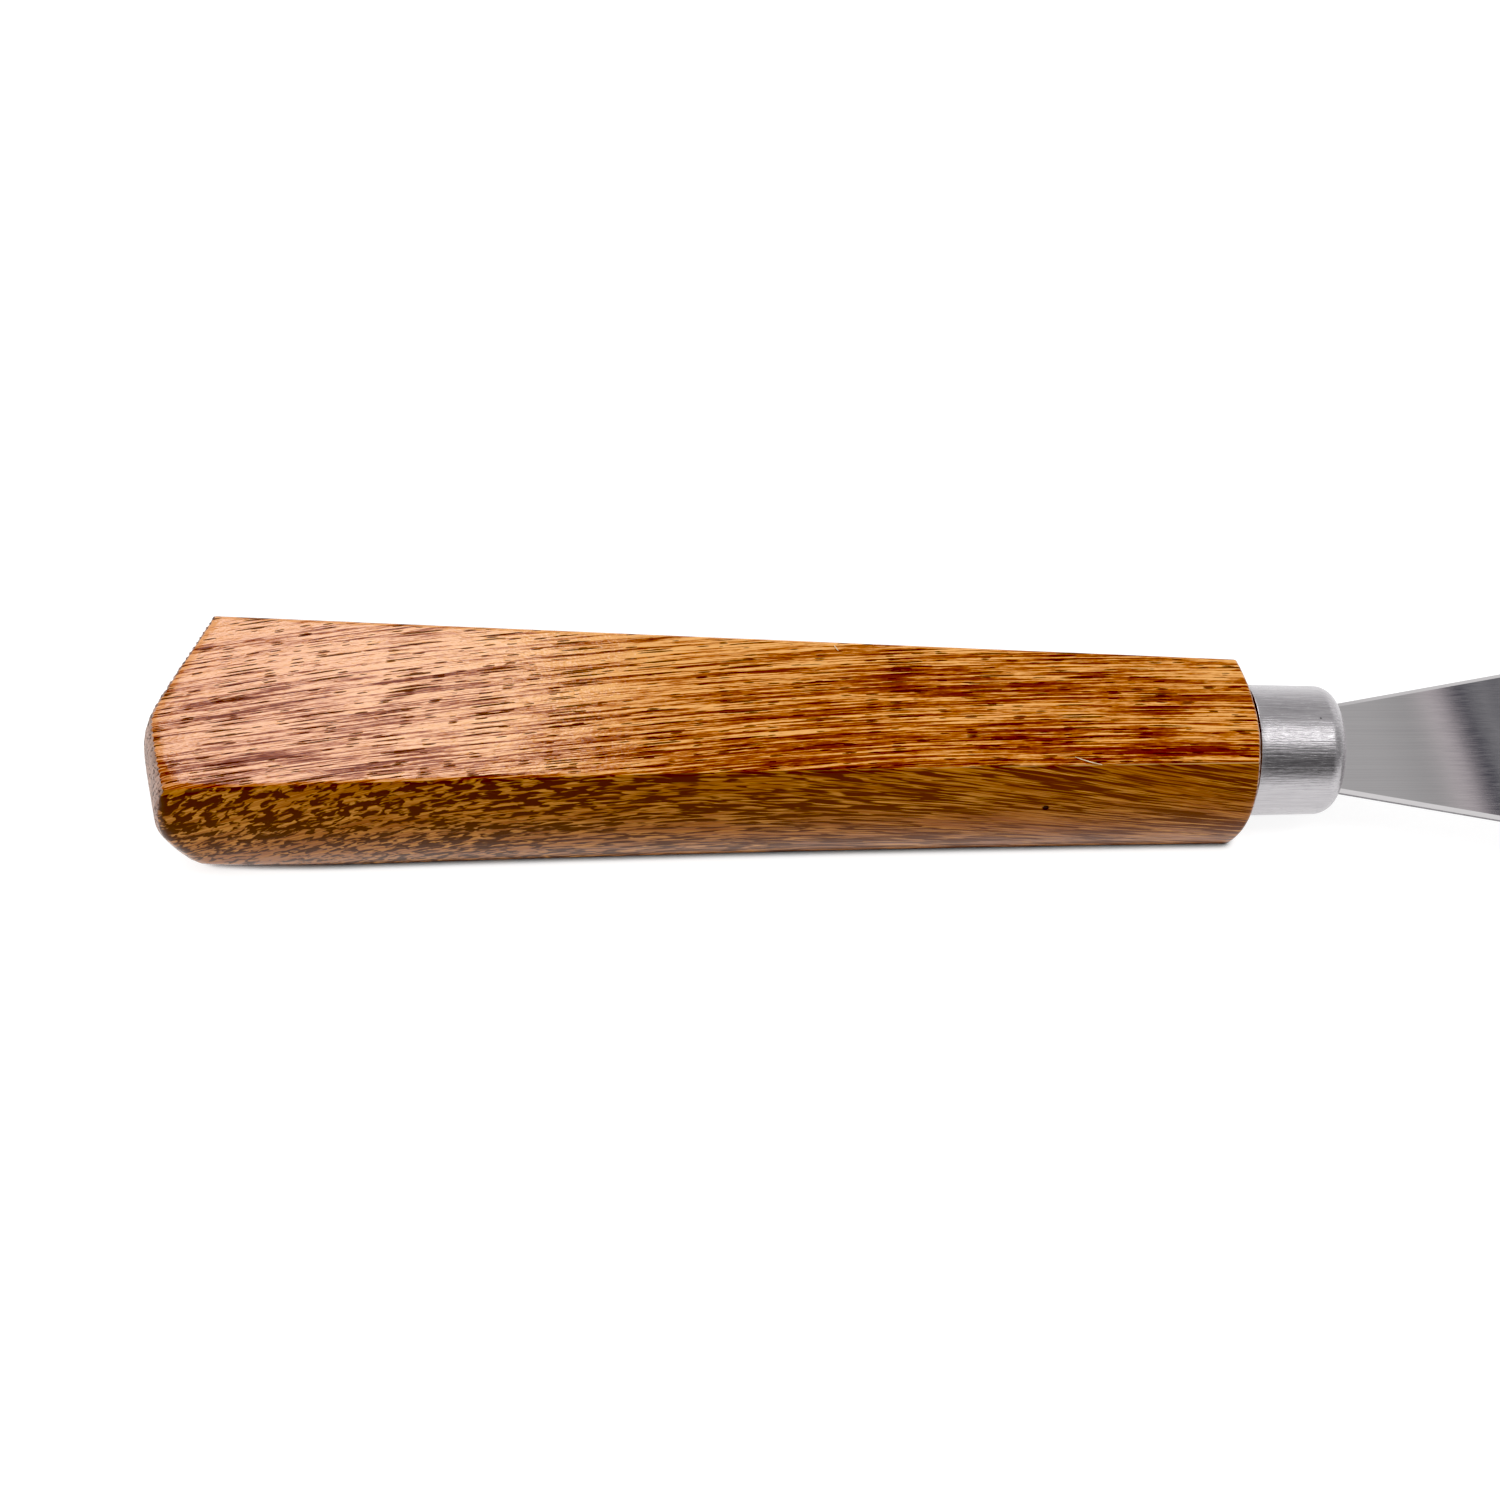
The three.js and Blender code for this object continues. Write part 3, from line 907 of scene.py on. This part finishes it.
def dark_edge_steel():
    """The blade's narrow sides: dark, rough steel with fine marks, which shows as a thin dark line along
    the blade's edge.
    """
    material, tree, shader = new_material("dark_rough_steel_edge", {"Metallic": 1.0})
    place_mm = object_millimetres(tree)
    marks = pattern(tree, place_mm, (5.0, 0.5, 1.0), 3, 0.6)
    colour = ramp(tree, marks, (0.3, (0.20, 0.19, 0.20)), (0.7, (0.32, 0.31, 0.32)))
    roughness = between(tree, marks, 0.3, 0.7, 0.3, 0.45)
    connect(tree, shader, Base_Color=colour, Roughness=roughness, Normal=bump(tree, marks, 0.02))
    return material


def cured_resin():
    """Amber adhesive with clouding and small bubbles."""
    material, tree, shader = new_material("cured_amber_resin", {"Specular IOR Level": 0.5})
    place_mm = object_millimetres(tree)
    cloud = pattern(tree, place_mm, (0.5, 0.5, 0.5), 3)
    bubbles = between(tree, pattern(tree, place_mm, (3.0, 3.0, 3.0), 1), 0.6, 0.68)
    colour = ramp(tree, cloud, (0.3, (0.42, 0.28, 0.10)), (0.7, (0.60, 0.45, 0.20)))
    roughness = between(tree, cloud, 0.3, 0.7, 0.25, 0.45)
    connect(tree, shader, Base_Color=colour, Roughness=roughness, Normal=bump(tree, bubbles, 0.05))
    return material


def dry_fibre():
    """Bare pale wood fibre, raised through the lacquer."""
    material, tree, shader = new_material("pale_wood_fibre", {"Sheen Weight": 0.2})
    place_mm = object_millimetres(tree)
    cloud = pattern(tree, place_mm, (2.0, 2.0, 2.0), 2)
    colour = ramp(tree, cloud, (0.3, (0.75, 0.55, 0.33)), (0.7, (0.9, 0.76, 0.55)))
    roughness = between(tree, cloud, 0.3, 0.7, 0.5, 0.7)
    connect(tree, shader, Base_Color=colour, Roughness=roughness)
    return material


# ---------------------------------------------------------------- studio


def build_floor():
    """A white table that glows. Its glow fades right under the knife, a painted contact shadow that leaves
    a thin dark contact line.
    """
    sockets = {
        "Base Color": (0.35, 0.35, 0.35, 1.0),
        "Roughness": 0.9,
        "Specular IOR Level": 0.0,
        "Emission Color": (1.0, 1.0, 1.0, 1.0),
    }
    material, tree, shader = new_material("glowing_table_painted_contact_shadow", sockets)
    nearby = {"Distance": CONTACT_REACH * MM}
    # Painted contact shadow: the glow is cut where ambient occlusion finds the knife close above the table.
    open_above = add(tree, "ShaderNodeAmbientOcclusion", nearby, samples=6).outputs["AO"]
    glow = between(tree, open_above, 0.35, 0.8, 0.0, TABLE_GLOW)
    connect(tree, shader, Emission_Strength=glow)
    mesh = bpy.data.meshes.new("floor")
    half = TABLE_HALF_SIZE
    corners = [(-half, -half, 0), (half, -half, 0), (half, half, 0), (-half, half, 0)]
    mesh.from_pydata(corners, [], [(0, 1, 2, 3)])
    mesh.materials.append(material)
    floor = bpy.data.objects.new("floor", mesh)
    bpy.context.scene.collection.objects.link(floor)


def softbox(name, shape, centre, size, radiance, colour=(1.0, 1.0, 1.0), reflected=True):
    """A light at a place in knife millimetres that faces the handle."""
    light = bpy.data.lights.new(name, "AREA")
    light.shape = shape
    light.size, light.size_y = size[0] * MM, size[1] * MM
    area = light.size * light.size_y * (math.pi / 4 if shape == "ELLIPSE" else 1)
    light.energy = radiance * math.pi * area
    light.color = colour
    obj = bpy.data.objects.new(name, light)
    obj.location = place(*centre)
    obj.rotation_euler = (place(*LIGHT_TARGET) - obj.location).to_track_quat("-Z", "Y").to_euler()
    obj.visible_camera = False
    obj.visible_glossy = reflected
    bpy.context.scene.collection.objects.link(obj)


def build_world():
    """A grey room for the metal and lacquer to reflect. The camera itself sees it white."""
    world = bpy.data.worlds.new("studio")
    bpy.context.scene.world = world
    world.use_nodes = True
    tree = world.node_tree
    direction = add(tree, "ShaderNodeTexCoord").outputs["Generated"]
    parts = add(tree, "ShaderNodeSeparateXYZ", {0: direction}).outputs
    from_zenith = maths(tree, "ARCTAN2", maths(tree, "MULTIPLY", parts["Y"], -1.0), parts["Z"])
    to_right = maths(tree, "ARCTAN2", parts["X"], parts["Z"])
    past_knife = between(tree, parts["X"], 0.08, 0.22)
    before_side = between(tree, parts["X"], 0.45, 0.65, 1, 0)
    right = maths(tree, "MULTIPLY", past_knife, before_side)
    ceiling = degree_ramp(tree, from_zenith, CEILING)
    ceiling_right = degree_ramp(tree, from_zenith, CEILING_RIGHT)
    room = mixed(tree, right, ceiling, ceiling_right)
    past_ceiling = between(tree, to_right, math.radians(21.0), math.radians(24.5))
    behind = between(tree, parts["Y"], 0.1, 0.35)
    behind_right = maths(tree, "MULTIPLY", past_ceiling, behind)
    room = mixed(tree, behind_right, room, degree_ramp(tree, to_right, RIGHT_WALL))
    camera = add(tree, "ShaderNodeLightPath").outputs["Is Camera Ray"]
    tree.links.new(mixed(tree, camera, room, (1.0, 1.0, 1.0)), tree.nodes["Background"].inputs["Color"])


def degree_ramp(tree, angle, stops):
    """Colours by angle. The stops are (degrees, grey) or (degrees, (red, green, blue))."""
    low, high = stops[0][0], stops[-1][0]
    limits = {"Value": angle, "From Min": math.radians(low), "From Max": math.radians(high)}
    share = add(tree, "ShaderNodeMapRange", limits).outputs["Result"]
    places = []
    for degrees, value in stops:
        colour = value if isinstance(value, tuple) else (value,) * 3
        places.append(((degrees - low) / (high - low), colour))
    return ramp(tree, share, *places)


def build_lights():
    """A long soft light over the camera's side, and a cooler one behind the butt that makes its sheen."""
    softbox(
        "overhead_softbox",
        "RECTANGLE",
        centre=(-40, -95, 500),
        size=(800, 130),
        radiance=2.6,
        reflected=False,
    )
    softbox(
        "side_softbox",
        "ELLIPSE",
        centre=(-245, 360, 470),
        size=(240, 180),
        radiance=5.8,
        colour=(0.93, 0.94, 1.0),
    )


def build_camera():
    """The photographer's camera, looking straight across the knife and down."""
    data = bpy.data.cameras.new("camera")
    data.sensor_fit = "HORIZONTAL"
    data.angle = CAMERA_FIELD
    data.clip_start, data.clip_end = 0.01, 50.0
    camera = bpy.data.objects.new("camera", data)
    towards = (0, -math.cos(CAMERA_ELEVATION), math.sin(CAMERA_ELEVATION))
    camera.location = place(CAMERA_OVER_X, 0, 0) + Vector(towards) * CAMERA_DISTANCE * MM
    camera.rotation_euler = (math.pi / 2 - CAMERA_ELEVATION, 0, 0)
    bpy.context.scene.collection.objects.link(camera)
    bpy.context.scene.camera = camera


def set_tones():
    """Plain colours with slightly deepened shadows, as in a product photograph."""
    view = bpy.context.scene.view_settings
    view.view_transform = "Standard"
    view.use_curve_mapping = True
    view.curve_mapping.black_level = (BLACK_LEVEL,) * 3
    view.curve_mapping.update()


# ---------------------------------------------------------------- the knife

wood = [wood_flat(), wood_side(), wood_end()]
handle = build_handle(wood)
ferrule = build_ferrule(drawn_aluminium())
blade = build_blade([polished_steel(), dark_edge_steel()])
pale = dry_fibre()
fibres = [build_fibre(name, start, end, thickness, pale) for name, start, end, thickness in FIBRES]
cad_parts["tang_adhesive"].data.materials.clear()
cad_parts["tang_adhesive"].data.materials.append(cured_resin())

for piece, slot_name, node_name in (
    (handle, "handle_wood", "handle"),
    (ferrule, "ferrule_aluminium", "ferrule"),
    (blade, "blade_steel", "blade"),
):
    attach(piece, "root")
    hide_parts(node_name)
for fibre in fibres:
    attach(fibre, "root")

build_floor()
build_world()
build_lights()
build_camera()
set_tones()
